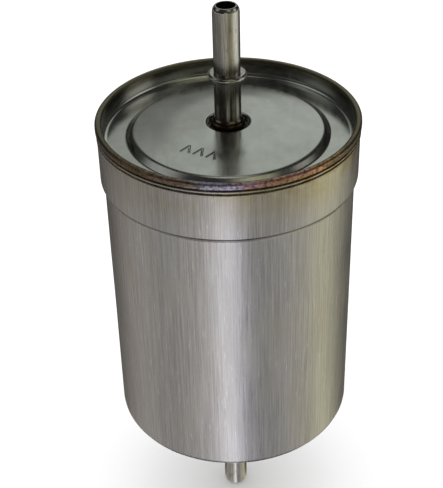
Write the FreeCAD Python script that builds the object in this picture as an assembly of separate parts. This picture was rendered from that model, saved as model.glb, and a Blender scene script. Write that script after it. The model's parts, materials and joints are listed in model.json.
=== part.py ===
"""In-line fuel filter: a welded steel can with a tube nipple at each end.

Millimetres, +Z up along the can's axis. The outlet nipple is on top and the inlet
nipple is underneath. The origin is on the axis, half way along the plain lower wall of
the can, where the clamping band holds the filter.
"""
import FreeCAD, Part
import math
import os

V = FreeCAD.Vector
AXIS = V(0, 0, 1)

# Can and cover: driving dimensions
sheet = 0.8                     # thickness of the can and of the cover
rim_top_z = 63.0                # top of the rim above the middle of the clamping band
rim_radius = 40.0               # weld at the rim, the widest place
mouth_radius = 39.6             # widened mouth of the can
body_radius = 38.45             # plain lower wall
mouth_depth = 18.3              # rim top to the top of the step
step_height = 1.8               # height of the step between mouth and lower wall
can_height = 108.4              # rim top to the flat ring under the can
can_corner_radius = 2.8         # rounded bottom edge, outside
cover_ring_depth = 6.0          # rim top to the cover's flat ring
seam_depth = 1.0                # rim top to the edges of the can and the cover
weld_depth = 1.9                # rim top to the lower edge of the weld
weld_inner_rounding = 0.35
weld_outer_rounding = 0.5
cover_fillet = 1.6              # inside bend between the cover's ring and its wall
step_bend = 0.6                 # inside bends of the step

# Ridges rolled into the mouth of the can
upper_ridge_depth = 2.5         # rim top to the middle of the ridge
upper_ridge_half_height = 0.35
upper_ridge_proud = 0.3
lower_ridge_depth = 3.7
lower_ridge_half_height = 0.45
lower_ridge_proud = 0.22
ridge_root = 0.1                # how far a ridge is let into the wall
ridge_flat_share = 0.6          # share of a ridge's height that stands fully proud

# Raised round panel, the same on the cover and on the can's bottom
panel_foot_radius = 30.8
panel_edge_radius = 28.9
panel_rise = 1.75               # flat ring to the panel's edge
panel_crown = 2.15              # panel's edge to the lip of the nipple's seat
panel_bend = 1.0                # inside bends at the panel's edge and foot
crown_corner_share = 0.72       # height of the crown's middle corner, as a share
crown_bend = 60.0               # large bend that makes the panel's crown
seat_lip_radius = 6.55
seat_lip_bend = 0.5
seat_radius = 6.3
seat_bend = 0.4
seat_depth = 2.4                # sunk seat of the nipple, below its lip

# Nipples
tube_radius = 4.0
bore_radius = 2.8
tip_rounding = 0.95
bore_rounding = 0.15
tip_to_bead = 21.6              # tip to the middle of the stop bead
bead_radius = 5.8
bead_thickness = 1.8
bead_rounding = 0.75
bead_root_rounding = 0.15
foot_radius = 4.6
foot_height = 4.0
foot_rounding = 0.3
collar_radius = 4.8             # swaged collar on the inside of the sheet
collar_height = 0.8
collar_rounding = 0.2
outlet_stand = 37.0             # outlet tip above the seat's lip
inlet_stand = 40.1              # inlet tip beyond the seat's lip
outlet_tail = 11.0              # tube inside the can, past the collar
inlet_tail = 2.0
tail_rounding = 0.3
braze_radius = 5.2
braze_height = 3.0
braze_toe_width = 0.5           # how far the braze spreads on the seat
braze_toe_height = 0.7
braze_toe_rounding = 0.5
braze_rounding = 0.25
braze_creep = 0.2               # how far the braze climbs against the tube

# Filter element
element_top_depth = 14.0        # rim top to the top of the upper end disc
element_height = 79.6
disc_sheet = 0.6
disc_radius = 35.6
disc_rim = 4.0
disc_bend = 0.6                 # inside bend between a disc and its rim
potting_thickness = 3.0
potting_inner_radius = 12.0
media_embed = 1.6               # paper sunk in the potting
media_outer_radius = 34.2
media_inner_radius = 15.6
pleat_count = 56
paper = 0.5
pleat_fold_half = 0.35          # half of the space inside an outer fold
pleat_gap_half = 0.2            # half of the space inside an inner fold
tube_outer_radius = 14.0
tube_wall = 0.6
tube_embed = 2.6                # centre tube sunk in the potting
hole_radius = 2.0
hole_rows = 9
holes_per_row = 8
hole_margin = 4.0               # plain length of the tube beyond the rows of holes
band_count = 4
band_height = 1.4
band_thickness = 0.6
clip_depth = 4.5
clip_sheet = 0.35
clip_inset = 6.0                # clip's ends inside the paper's ends
grommet_radius = 7.6
grommet_neck_radius = 6.0
grommet_lip = 2.2
grommet_rounding = 0.5
grommet_mouth_rounding = 0.3

# Spring and baffle
wire_radius = 0.8
spring_radius = 11.0
spring_height = 6.6
spring_turns = 2.75
locator_gap = 0.3               # spring to the ring that centres it
locator_height = 1.2
baffle_sheet = 0.8
baffle_top_radius = 29.0
baffle_foot_radius = 33.5
baffle_bend = 0.8               # inside bend between the baffle's top and its wall
window_count = 8
window_width = 10.0
window_height = 2.6

# Stamped flow marks: a row of chevrons that point at the outlet nipple
mark_radius = 18.6
mark_angle = -116.5
mark_count = 3
mark_pitch = 4.2
mark_half_width = 1.3
mark_height = 3.2               # ends of the strokes to the point
mark_stroke = 1.2               # stroke measured along the way the mark points
mark_depth = 0.22

cut_room = 1.2                  # how far a cutting solid goes past what it cuts
shortest_edge = 1e-6

# Heights worked out from the driving dimensions
cover_ring_z = rim_top_z - cover_ring_depth
can_bottom_z = rim_top_z - can_height
lip_rise = panel_rise + panel_crown
outlet_lip_z = cover_ring_z + lip_rise
inlet_lip_z = can_bottom_z - lip_rise
disc_top_z = rim_top_z - element_top_depth
disc_bottom_z = disc_top_z - element_height
media_top_z = disc_top_z - disc_sheet - potting_thickness + media_embed
media_bottom_z = disc_bottom_z + disc_sheet + potting_thickness - media_embed
cover_wall_radius = mouth_radius - sheet


def rounded_wire(corners):
    """Closed wire in the XZ plane; each corner is (radius, z, rounding)."""
    pieces = []
    for index, (x, z, rounding) in enumerate(corners):
        corner = V(x, 0, z)
        before = corners[index - 1]
        after = corners[(index + 1) % len(corners)]
        if rounding == 0:
            pieces.append((corner, None, corner))
            continue
        to_before = (V(before[0], 0, before[1]) - corner).normalize()
        to_after = (V(after[0], 0, after[1]) - corner).normalize()
        half_angle = to_before.getAngle(to_after) / 2
        setback = rounding / math.tan(half_angle)
        inwards = (to_before + to_after).normalize()
        middle = corner + inwards * (rounding / math.sin(half_angle) - rounding)
        pieces.append((corner + to_before * setback, middle, corner + to_after * setback))
    edges = []
    for index, (start, middle, end) in enumerate(pieces):
        if middle is not None:
            edges.append(Part.Arc(start, middle, end).toShape())
        following = pieces[(index + 1) % len(pieces)][0]
        if (following - end).Length > shortest_edge:
            edges.append(Part.LineSegment(end, following).toShape())
    return Part.Wire(edges)


def turned(corners):
    """Solid of revolution of a closed outline."""
    return Part.Face(rounded_wire(corners)).revolve(V(0, 0, 0), AXIS, 360)


def ring(inner, outer, bottom, top):
    """Plain ring between two heights."""
    solid = Part.makeCylinder(outer, top - bottom, V(0, 0, bottom))
    return solid.cut(Part.makeCylinder(inner, top - bottom, V(0, 0, bottom)))


def pressed_sheet(path, thickness):
    """Turned sheet-metal shell. The path holds (radius, z, inside bend radius).

    The shell lies on the right of the path, and a bend keeps its thickness: the
    outside of the bend is rounder than the inside by one thickness.
    """
    near = []
    far = []
    for index, (x, z, bend) in enumerate(path):
        point = V(x, 0, z)
        directions = []
        if index > 0:
            directions.append((point - V(path[index - 1][0], 0, path[index - 1][1])).normalize())
        if index < len(path) - 1:
            directions.append((V(path[index + 1][0], 0, path[index + 1][1]) - point).normalize())
        normals = [V(way.z, 0, -way.x) for way in directions]
        mitre = normals[0] + normals[-1]
        offset = mitre * (2 * thickness / mitre.Length ** 2)
        turn = 0
        if len(directions) == 2:
            turn = directions[0].z * directions[1].x - directions[0].x * directions[1].z
        near_bend = bend + thickness if bend and turn > 0 else bend
        far_bend = bend + thickness if bend and turn < 0 else bend
        near.append((x, z, near_bend))
        far.append((x + offset.x, z + offset.z, far_bend))
    return turned(near + far[::-1])


def panel_path(ring_z, way):
    """Seat, crowned panel and foot of the raised panel; way is +1 up or -1 down."""
    lip_z = ring_z + way * lip_rise
    edge_z = ring_z + way * panel_rise
    crown_z = edge_z + way * panel_crown * crown_corner_share
    crown_radius = (seat_lip_radius + panel_edge_radius) / 2
    return [
        (tube_radius, lip_z - way * seat_depth, 0),
        (seat_radius, lip_z - way * seat_depth, seat_bend),
        (seat_lip_radius, lip_z, seat_lip_bend),
        (crown_radius, crown_z, crown_bend),
        (panel_edge_radius, edge_z, panel_bend),
        (panel_foot_radius, ring_z, panel_bend),
    ]


def housing_can():
    """Can: mouth with two rolled ridges, step, plain wall, rounded bottom and panel."""
    mouth_bottom_z = rim_top_z - mouth_depth
    path = panel_path(can_bottom_z, -1) + [
        (body_radius, can_bottom_z, can_corner_radius - sheet),
        (body_radius, mouth_bottom_z - step_height, step_bend),
        (mouth_radius, mouth_bottom_z, step_bend),
        (mouth_radius, rim_top_z - seam_depth, 0),
    ]
    # The path runs outwards and up, so the shell has to lie on its left.
    mirrored = [(radius, -z, bend) for radius, z, bend in path]
    can = pressed_sheet(mirrored, sheet).mirror(V(0, 0, 0), AXIS)
    upper_ridge = wall_ridge(upper_ridge_depth, upper_ridge_half_height, upper_ridge_proud)
    lower_ridge = wall_ridge(lower_ridge_depth, lower_ridge_half_height, lower_ridge_proud)
    return can.fuse(upper_ridge).fuse(lower_ridge).removeSplitter()


def wall_ridge(depth, half_height, proud):
    """Low round ridge on the mouth of the can, its middle at a depth below the rim."""
    middle_z = rim_top_z - depth
    half_flat = half_height * ridge_flat_share
    return turned([
        (mouth_radius - ridge_root, middle_z - half_height, 0),
        (mouth_radius + proud, middle_z - half_flat, ridge_root),
        (mouth_radius + proud, middle_z + half_flat, ridge_root),
        (mouth_radius - ridge_root, middle_z + half_height, 0),
    ])


def flow_marks():
    """Thin chevrons on the panel's skin, each pointing at the nipple."""
    low = -mark_height / 2
    high = mark_height / 2
    half_stroke = mark_stroke / 2
    chevrons = []
    for index in range(mark_count):
        across = (index - (mark_count - 1) / 2) * mark_pitch
        outline = [
            (-mark_half_width, low + half_stroke),
            (0, high + half_stroke),
            (mark_half_width, low + half_stroke),
            (mark_half_width, low - half_stroke),
            (0, high - half_stroke),
            (-mark_half_width, low - half_stroke),
        ]
        points = [V(across + x, y - mark_radius, cover_ring_z) for x, y in outline]
        face = Part.Face(Part.makePolygon(points + points[:1]))
        chevrons.append(face.extrude(V(0, 0, lip_rise + cut_room)))
    marks = Part.makeCompound(chevrons)
    marks.rotate(V(0, 0, 0), AXIS, mark_angle + 90)
    return marks


def end_cover():
    """Cover: nipple seat, crowned panel, flat ring and wall up to the seam."""
    path = panel_path(cover_ring_z, 1) + [
        (cover_wall_radius - sheet, cover_ring_z, cover_fillet),
        (cover_wall_radius - sheet, rim_top_z - seam_depth, 0),
    ]
    cover = pressed_sheet(path, sheet)
    lip, crown, edge = path[2:5]
    skin = pressed_sheet([lip[:2] + (0,), crown, edge[:2] + (0,)], mark_depth)
    return cover.cut(flow_marks().common(skin))


def rim_weld():
    """Weld bead over the edges of the can and the cover."""
    top = rim_top_z
    inner = cover_wall_radius - sheet
    return turned([
        (inner, top - seam_depth, 0),
        (inner, top, weld_inner_rounding),
        (rim_radius, top, weld_outer_rounding),
        (rim_radius, top - weld_depth, 0),
        (mouth_radius, top - weld_depth, 0),
        (mouth_radius, top - seam_depth, 0),
    ])


def nipple(lip_z, stand, tail):
    """Drawn tube, tip up, with its stop bead, foot and swaged collar."""
    tip_z = lip_z + stand
    bead_z = tip_z - tip_to_bead
    seat_z = lip_z - seat_depth
    half_bead = bead_thickness / 2
    return turned([
        (bore_radius, tip_z, bore_rounding),
        (tube_radius, tip_z, tip_rounding),
        (tube_radius, bead_z + half_bead, bead_root_rounding),
        (bead_radius, bead_z + half_bead, bead_rounding),
        (bead_radius, bead_z - half_bead, bead_rounding),
        (tube_radius, bead_z - half_bead, bead_root_rounding),
        (tube_radius, seat_z + foot_height, foot_rounding),
        (foot_radius, seat_z + foot_height, foot_rounding),
        (foot_radius, seat_z, 0),
        (tube_radius, seat_z, 0),
        (tube_radius, seat_z - sheet, 0),
        (collar_radius, seat_z - sheet, collar_rounding),
        (collar_radius, seat_z - sheet - collar_height, collar_rounding),
        (tube_radius, seat_z - sheet - collar_height, collar_rounding),
        (tube_radius, seat_z - sheet - collar_height - tail, tail_rounding),
        (bore_radius, seat_z - sheet - collar_height - tail, 0),
    ])


def braze_ring(lip_z):
    """Braze metal round the nipple's foot, in the seat."""
    seat_z = lip_z - seat_depth
    return turned([
        (foot_radius, seat_z, 0),
        (braze_radius + braze_toe_width, seat_z, 0),
        (braze_radius, seat_z + braze_toe_height, braze_toe_rounding),
        (braze_radius, seat_z + braze_height, braze_rounding),
        (foot_radius, seat_z + braze_height + braze_creep, 0),
    ])


def turned_over(shape):
    """The same piece, upside down at the other end of the filter."""
    shape.rotate(V(0, 0, 0), V(1, 0, 0), 180)
    return shape


def pleat_points(tip_radius, tip_half, valley_radius, valley_half):
    """Closed star outline with two points at each outer and inner fold."""
    points = []
    for index in range(pleat_count):
        middle = 2 * math.pi * index / pleat_count
        valley = middle + math.pi / pleat_count
        for angle, radius in (
            (middle - tip_half / tip_radius, tip_radius),
            (middle + tip_half / tip_radius, tip_radius),
            (valley - valley_half / valley_radius, valley_radius),
            (valley + valley_half / valley_radius, valley_radius),
        ):
            points.append(V(radius * math.cos(angle), radius * math.sin(angle), media_bottom_z))
    return points


def filter_media():
    """Pleated paper ring of constant paper thickness."""
    outer = pleat_points(
        media_outer_radius, pleat_fold_half + paper, media_inner_radius + paper, pleat_gap_half)
    inner = pleat_points(
        media_outer_radius - paper, pleat_fold_half, media_inner_radius, pleat_gap_half + paper)
    wires = [Part.makePolygon(points + points[:1]) for points in (outer, inner)]
    ring_face = Part.makeFace(Part.makeCompound(wires), "Part::FaceMakerBullseye")
    return ring_face.extrude(V(0, 0, media_top_z - media_bottom_z))


def media_seam_clip():
    """Folded strip round one outer pleat, where the two ends of the paper meet."""
    half_tip = pleat_fold_half + paper + clip_sheet
    strip = Part.makeBox(
        clip_depth + clip_sheet, 2 * half_tip, media_top_z - media_bottom_z - 2 * clip_inset,
        V(media_outer_radius - clip_depth, -half_tip, media_bottom_z + clip_inset))
    pleat = pleat_points(
        media_outer_radius, pleat_fold_half + paper, media_inner_radius + paper, pleat_gap_half)
    filled = Part.Face(Part.makePolygon(pleat + pleat[:1]))
    return strip.cut(filled.extrude(V(0, 0, media_top_z - media_bottom_z)))


def pleat_spacing_bands(clip):
    """Thread bands round the outer folds and over the clip, evenly spread in height."""
    clear_bottom = disc_bottom_z + disc_rim
    clear_top = disc_top_z - disc_rim
    gap = (clear_top - clear_bottom) / (band_count + 1)
    outer = media_outer_radius + band_thickness
    bands = []
    for index in range(band_count):
        bottom = clear_bottom + gap * (index + 1) - band_height / 2
        band = ring(media_outer_radius, outer, bottom, bottom + band_height)
        bands.append(band.cut(clip))
    return Part.makeCompound(bands)


def centre_tube():
    """Perforated tube in staggered rows of round holes."""
    bottom = disc_bottom_z + disc_sheet + potting_thickness - tube_embed
    top = disc_top_z - disc_sheet - potting_thickness + tube_embed
    inner_radius = tube_outer_radius - tube_wall
    tube = ring(inner_radius, tube_outer_radius, bottom, top)
    pitch = (media_top_z - media_bottom_z - 2 * hole_margin) / hole_rows
    drills = []
    for row in range(hole_rows):
        z = media_bottom_z + hole_margin + pitch * (row + 0.5)
        for column in range(holes_per_row):
            angle = 2 * math.pi * (column + row % 2 / 2) / holes_per_row
            way = V(math.cos(angle), math.sin(angle), 0)
            start = way * (inner_radius - cut_room) + V(0, 0, z)
            drills.append(Part.makeCylinder(hole_radius, tube_wall + 2 * cut_room, start, way))
    return tube.cut(Part.makeCompound(drills))


def upper_end_disc():
    """Disc with a turned-down rim and the hole that holds the grommet."""
    return pressed_sheet([
        (grommet_neck_radius, disc_top_z, 0),
        (disc_radius, disc_top_z, disc_bend),
        (disc_radius, disc_top_z - disc_rim, 0),
    ], disc_sheet)


def lower_end_disc():
    """Closed disc with a turned-up rim and a ring that centres the spring."""
    locator = spring_radius + wire_radius + locator_gap
    plate = turned([
        (0, disc_bottom_z, 0),
        (disc_radius, disc_bottom_z, disc_bend + disc_sheet),
        (disc_radius, disc_bottom_z + disc_rim, 0),
        (disc_radius - disc_sheet, disc_bottom_z + disc_rim, 0),
        (disc_radius - disc_sheet, disc_bottom_z + disc_sheet, disc_bend),
        (0, disc_bottom_z + disc_sheet, 0),
    ])
    return plate.fuse(
        ring(locator, locator + disc_sheet, disc_bottom_z - locator_height, disc_bottom_z))


def potting(bottom, inserts):
    """Adhesive layer in a disc, with the paper and the centre tube standing in it."""
    layer = ring(
        potting_inner_radius, disc_radius - disc_sheet, bottom, bottom + potting_thickness)
    return layer.cut(Part.makeCompound(inserts))


def outlet_seal_ring():
    """Rubber grommet in the upper disc's hole, on the outlet tube's inner end."""
    top = disc_top_z
    bottom = disc_top_z - disc_sheet
    return turned([
        (tube_radius, bottom - grommet_lip, grommet_mouth_rounding),
        (grommet_radius, bottom - grommet_lip, grommet_rounding),
        (grommet_radius, bottom, 0),
        (grommet_neck_radius, bottom, 0),
        (grommet_neck_radius, top, 0),
        (grommet_radius, top, 0),
        (grommet_radius, top + grommet_lip, grommet_rounding),
        (tube_radius, top + grommet_lip, grommet_mouth_rounding),
    ])


def element_spring():
    """Coil spring between the lower disc and the baffle."""
    pitch = (spring_height - 2 * wire_radius) / spring_turns
    bottom = disc_bottom_z - spring_height + wire_radius
    helix = Part.makeHelix(pitch, pitch * spring_turns, spring_radius)
    section = Part.Wire(Part.makeCircle(wire_radius, V(spring_radius, 0, 0), V(0, 1, 0)))
    coil = Part.Wire(helix).makePipeShell([section], True, True)
    coil.translate(V(0, 0, bottom))
    return coil


def inlet_baffle():
    """Shallow cup upside down on the can's floor, with windows in its wall."""
    top = disc_bottom_z - spring_height
    floor = can_bottom_z + sheet
    cup = turned([
        (0, top, 0),
        (baffle_top_radius, top, baffle_bend + baffle_sheet),
        (baffle_foot_radius, floor, 0),
        (baffle_foot_radius - baffle_sheet, floor, 0),
        (baffle_top_radius - baffle_sheet / 2, top - baffle_sheet, baffle_bend),
        (0, top - baffle_sheet, 0),
    ])
    middle = (top + floor) / 2 - baffle_sheet / 2
    windows = []
    for index in range(window_count):
        window = Part.makeBox(
            baffle_foot_radius - baffle_top_radius + 2 * cut_room, window_width, window_height,
            V(baffle_top_radius - cut_room, -window_width / 2, middle - window_height / 2))
        window.rotate(V(0, 0, 0), AXIS, 360 * index / window_count)
        windows.append(window)
    return cup.cut(Part.makeCompound(windows))


def build():
    """All the pieces, by node name."""
    media = filter_media()
    tube = centre_tube()
    clip = media_seam_clip()
    upper_disc = upper_end_disc()
    lower_disc = lower_end_disc()
    return {
        "housing_can": housing_can(),
        "end_cover": end_cover(),
        "rim_weld": rim_weld(),
        "outlet_nipple": nipple(outlet_lip_z, outlet_stand, outlet_tail),
        "outlet_braze_ring": braze_ring(outlet_lip_z),
        "inlet_nipple": turned_over(nipple(-inlet_lip_z, inlet_stand, inlet_tail)),
        "inlet_braze_ring": turned_over(braze_ring(-inlet_lip_z)),
        "outlet_seal_ring": outlet_seal_ring(),
        "upper_end_disc": upper_disc,
        "upper_potting": potting(
            disc_top_z - disc_sheet - potting_thickness, [media, tube, upper_disc]),
        "filter_media": media,
        "media_seam_clip": clip,
        "pleat_spacing_bands": pleat_spacing_bands(clip),
        "centre_tube": tube,
        "lower_potting": potting(disc_bottom_z + disc_sheet, [media, tube, lower_disc]),
        "lower_end_disc": lower_disc,
        "element_spring": element_spring(),
        "inlet_baffle": inlet_baffle(),
    }


os.makedirs("parts", exist_ok=True)
for node, shape in build().items():
    if not shape.isValid():
        raise SystemExit(node + " is not a valid shape")
    shape.exportStep("parts/" + node + ".step")
    box = shape.BoundBox
    print(node, "solids", len(shape.Solids), "volume", round(shape.Volume, 1),
          "x", round(box.XMin, 2), round(box.XMax, 2), "z", round(box.ZMin, 2), round(box.ZMax, 2))
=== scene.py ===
"""Looks of a welded steel in-line fuel filter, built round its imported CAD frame.

The steel pieces that show are turned again as fine meshes with their grooves, weld
ripples, dents and stamped marks. The pieces inside the can keep their CAD shape and get
their own finishes. Sizes are millimetres in the classes and metres in the meshes.
"""
import json
import logging
import math
from dataclasses import dataclass
from enum import Enum
from typing import Callable, Optional, Sequence, Union

import bpy
import numpy as np
from mathutils import Matrix, Vector


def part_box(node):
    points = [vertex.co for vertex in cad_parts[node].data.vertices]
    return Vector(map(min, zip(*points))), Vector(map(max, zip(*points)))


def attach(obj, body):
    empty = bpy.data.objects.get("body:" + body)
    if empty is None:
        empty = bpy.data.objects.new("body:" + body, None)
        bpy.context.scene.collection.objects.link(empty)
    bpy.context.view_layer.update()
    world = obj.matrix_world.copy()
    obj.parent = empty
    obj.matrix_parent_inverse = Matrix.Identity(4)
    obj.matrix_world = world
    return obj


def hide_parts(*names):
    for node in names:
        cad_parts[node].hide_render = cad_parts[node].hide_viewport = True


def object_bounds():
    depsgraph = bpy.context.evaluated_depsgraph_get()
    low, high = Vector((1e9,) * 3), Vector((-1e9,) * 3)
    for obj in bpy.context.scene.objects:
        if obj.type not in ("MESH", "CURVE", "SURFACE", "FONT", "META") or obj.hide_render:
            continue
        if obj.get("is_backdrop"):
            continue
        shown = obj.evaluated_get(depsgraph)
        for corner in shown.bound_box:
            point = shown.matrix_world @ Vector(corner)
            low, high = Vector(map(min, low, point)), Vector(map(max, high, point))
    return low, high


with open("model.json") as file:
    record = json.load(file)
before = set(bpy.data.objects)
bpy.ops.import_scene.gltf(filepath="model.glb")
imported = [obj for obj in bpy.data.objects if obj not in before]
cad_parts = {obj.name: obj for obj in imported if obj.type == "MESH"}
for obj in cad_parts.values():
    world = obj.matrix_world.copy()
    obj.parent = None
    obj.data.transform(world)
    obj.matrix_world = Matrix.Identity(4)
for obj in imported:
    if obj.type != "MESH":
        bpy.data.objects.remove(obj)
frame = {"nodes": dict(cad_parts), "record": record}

MM = 0.001
ROOT_BODY = "root"
log = logging.getLogger("fuel_filter")

Grid = np.ndarray                   # an array of points, or of one value for each vertex
Tree = bpy.types.NodeTree
Socket = bpy.types.NodeSocket
SocketValue = Union[float, Sequence[float], Socket]
Size = tuple[float, float, float]   # along X, Y and Z, in millimetres
Moved = tuple[Grid, Grid]           # radial and axial displacement of each vertex, in millimetres


class Slot(Enum):
    """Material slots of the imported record."""

    CAN = "can_steel"
    COVER = "cover_steel"
    WELD = "weld_steel"
    TUBE = "tube_steel"
    BRAZE = "braze_metal"
    SEAL = "seal_rubber"
    DISC = "disc_steel"
    CORE = "tube_perforated"
    MEDIA = "media_paper"
    POTTING = "potting_resin"
    BANDS = "band_thread"
    SPRING = "spring_steel"


# Turned outlines


@dataclass(frozen=True)
class Corner:
    """One corner of a turned outline: radius, height and rounding in millimetres."""

    r: float
    z: float
    rounding: float = 0.0


def outline(corners: Sequence[Corner], longest: float = 2.0, arc_steps: int = 6) -> Grid:
    """Round the corners of a closed outline and divide its straight runs.

    Args:
        corners: the outline's corners in order.
        longest: longest step along a straight run, in millimetres.
        arc_steps: number of steps in each rounded corner.

    Returns:
        An array of (radius, height) points, in millimetres.
    """
    pieces: list[list[Vector]] = []
    for index, corner in enumerate(corners):
        point = Vector((corner.r, corner.z))
        before = corners[index - 1]
        after = corners[(index + 1) % len(corners)]
        to_before = (Vector((before.r, before.z)) - point).normalized()
        to_after = (Vector((after.r, after.z)) - point).normalized()
        half_angle = to_before.angle(to_after) / 2
        if corner.rounding == 0 or half_angle > math.radians(89.9):
            pieces.append([point])
            continue
        bisector = (to_before + to_after).normalized()
        centre = point + bisector * (corner.rounding / math.sin(half_angle))
        setback = corner.rounding / math.tan(half_angle)
        start = point + to_before * setback - centre
        end = point + to_after * setback - centre
        sweep = start.angle_signed(end)
        turn = [Matrix.Rotation(-sweep * step / arc_steps, 2) for step in range(arc_steps + 1)]
        pieces.append([centre + rotation @ start for rotation in turn])
    points: list[Vector] = []
    for index, piece in enumerate(pieces):
        points.extend(piece)
        run = pieces[(index + 1) % len(pieces)][0] - piece[-1]
        guard = min(0.1, run.length / 4)
        if run.length < 1e-4:
            points.pop()
            continue
        inner_steps = max(1, math.ceil((run.length - 2 * guard) / longest))
        shares = np.linspace(guard, run.length - guard, inner_steps + 1) / run.length
        points.extend(piece[-1] + run * share for share in shares)
    return np.array([tuple(point) for point in points])


def inner_side(path: Sequence[Corner], thickness: float) -> list[Corner]:
    """Offset an open sheet-metal path to its other face, bends included.

    Args:
        path: corners of the outer face, in order.
        thickness: sheet thickness; the other face lies on the path's left.

    Returns:
        The corners of the other face, in the same order.
    """
    result: list[Corner] = []
    for index, corner in enumerate(path):
        ways: list[Vector] = []
        if index > 0:
            ways.append(Vector((corner.r - path[index - 1].r, corner.z - path[index - 1].z)))
        if index < len(path) - 1:
            ways.append(Vector((path[index + 1].r - corner.r, path[index + 1].z - corner.z)))
        ways = [way.normalized() for way in ways]
        normals = [Vector((-way.y, way.x)) for way in ways]
        mitre = normals[0] + normals[-1]
        offset = mitre * (2 * thickness / mitre.length_squared)
        turns_left = len(ways) == 2 and ways[0].cross(ways[1]) > 0
        change = -thickness if turns_left else thickness
        rounding = max(corner.rounding + change, 0.05) if corner.rounding else 0.0
        result.append(Corner(corner.r + offset.x, corner.z + offset.y, rounding))
    return result


@dataclass(frozen=True)
class Vertices:
    """Radius, height and angle of each vertex of a turned piece."""

    radius: Grid
    height: Grid
    angle: Grid


def lathe(
    name: str, points: Grid, segments: int, shift: Callable[[Vertices], Moved]
) -> bpy.types.Object:
    """Turn a closed outline round the Z axis into a closed smooth mesh.

    Args:
        name: name of the new piece.
        points: outline points (radius, height), in millimetres.
        segments: number of steps round the axis.
        shift: gives the displacement of the vertices.

    Returns:
        The new object, linked to the scene.
    """
    rows = len(points)
    angle = np.linspace(0, 2 * math.pi, segments, endpoint=False)[:, None]
    radius = np.broadcast_to(points[:, 0], (segments, rows)).copy()
    height = np.broadcast_to(points[:, 1], (segments, rows)).copy()
    out, up = shift(Vertices(radius, height, np.broadcast_to(angle, radius.shape)))
    radius += out
    height += up
    vertices = np.stack([radius * np.cos(angle), radius * np.sin(angle), height], -1)
    column = np.arange(segments)[:, None] * rows
    beside = (column + rows) % (segments * rows)
    row = np.arange(rows)[None, :]
    above = (row + 1) % rows
    faces = np.stack([column + row, beside + row, beside + above, column + above], -1)
    inside_out = signed_area(points) < 0
    faces = faces.reshape(-1, 4)[:, ::-1] if inside_out else faces.reshape(-1, 4)
    mesh = bpy.data.meshes.new(name)
    mesh.from_pydata((vertices.reshape(-1, 3) * MM).tolist(), [], faces.tolist())
    mesh.shade_smooth()
    mesh.update()
    return add_object(name, mesh)


def add_object(name: str, data: bpy.types.ID) -> bpy.types.Object:
    """Put new data into the scene as an object.

    Args:
        name: the object's name.
        data: its mesh, light or camera.

    Returns:
        The object.
    """
    thing = bpy.data.objects.new(name, data)
    bpy.context.scene.collection.objects.link(thing)
    return thing


def signed_area(points: Grid) -> float:
    """Area of a closed outline, positive when it runs counter-clockwise."""
    following = np.roll(points, -1, axis=0)
    return float(np.sum(points[:, 0] * following[:, 1] - following[:, 0] * points[:, 1]) / 2)


def upside_down(corners: Sequence[Corner]) -> list[Corner]:
    """The same corners with their heights turned over."""
    return [Corner(corner.r, -corner.z, corner.rounding) for corner in corners]


@dataclass(frozen=True)
class Waviness:
    """Slow unevenness of a formed wall, as a sum of waves that close round the axis."""

    height: float                   # typical size of the unevenness, mm
    around: int                     # most waves round the axis
    pitch: float                    # shortest wave along the axis, mm
    seed: int
    waves: int = 14

    def over(self, height: Grid, angle: Grid) -> Grid:
        """Unevenness in millimetres at each height and angle.

        Args:
            height: height of each vertex, in millimetres.
            angle: angle of each vertex round the axis.

        Returns:
            The unevenness, in millimetres.
        """
        random = np.random.default_rng(self.seed)
        total = np.zeros_like(height)
        for _ in range(self.waves):
            count = int(random.integers(1, self.around + 1))
            lean = random.uniform(-1, 1) * 2 * math.pi / self.pitch
            phase = random.uniform(0, 2 * math.pi)
            total += np.cos(count * angle + lean * height + phase)
        return self.height * total / math.sqrt(self.waves)


# Shader building


def linear(colour: str) -> tuple[float, float, float, float]:
    """Linear RGBA of an sRGB hex colour such as "#8a8b88".

    Args:
        colour: the hex colour.

    Returns:
        Red, green, blue and an alpha of 1.
    """
    parts = [int(colour[place:place + 2], 16) / 255 for place in (1, 3, 5)]
    red, green, blue = (
        part / 12.92 if part <= 0.04045 else ((part + 0.055) / 1.055) ** 2.4 for part in parts)
    return (red, green, blue, 1.0)


def add_node(
    tree: Tree,
    kind: str,
    inputs: Optional[dict[Union[str, int], SocketValue]] = None,
    stops: Optional[Sequence[tuple[float, str]]] = None,
    output: Optional[Union[str, int]] = None,
    **settings: object,
) -> Optional[Socket]:
    """Add a node with its settings, its input values and its links.

    Args:
        tree: node tree that receives the node.
        kind: Blender's node type.
        inputs: a value, or an output socket to link, for each input.
        stops: positions and sRGB hex colours, for a node with a colour ramp.
        output: which output to return, where it isn't the first one in use.
        **settings: the node's own properties.

    Returns:
        The node's output socket, or None for a node without one.
    """
    node = tree.nodes.new("ShaderNode" + kind)
    for key, setting in settings.items():
        setattr(node, key, setting)
    for socket, value in (inputs or {}).items():
        if isinstance(value, Socket):
            tree.links.new(value, node.inputs[socket])
        else:
            node.inputs[socket].default_value = value
    for index, (position, colour) in enumerate(stops or ()):
        ramp = node.color_ramp.elements
        stop = ramp[index] if index < len(ramp) else ramp.new(position)
        stop.position = position
        stop.color = linear(colour)
    if output is not None:
        return node.outputs[output]
    return next((socket for socket in node.outputs if socket.enabled), None)


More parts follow.
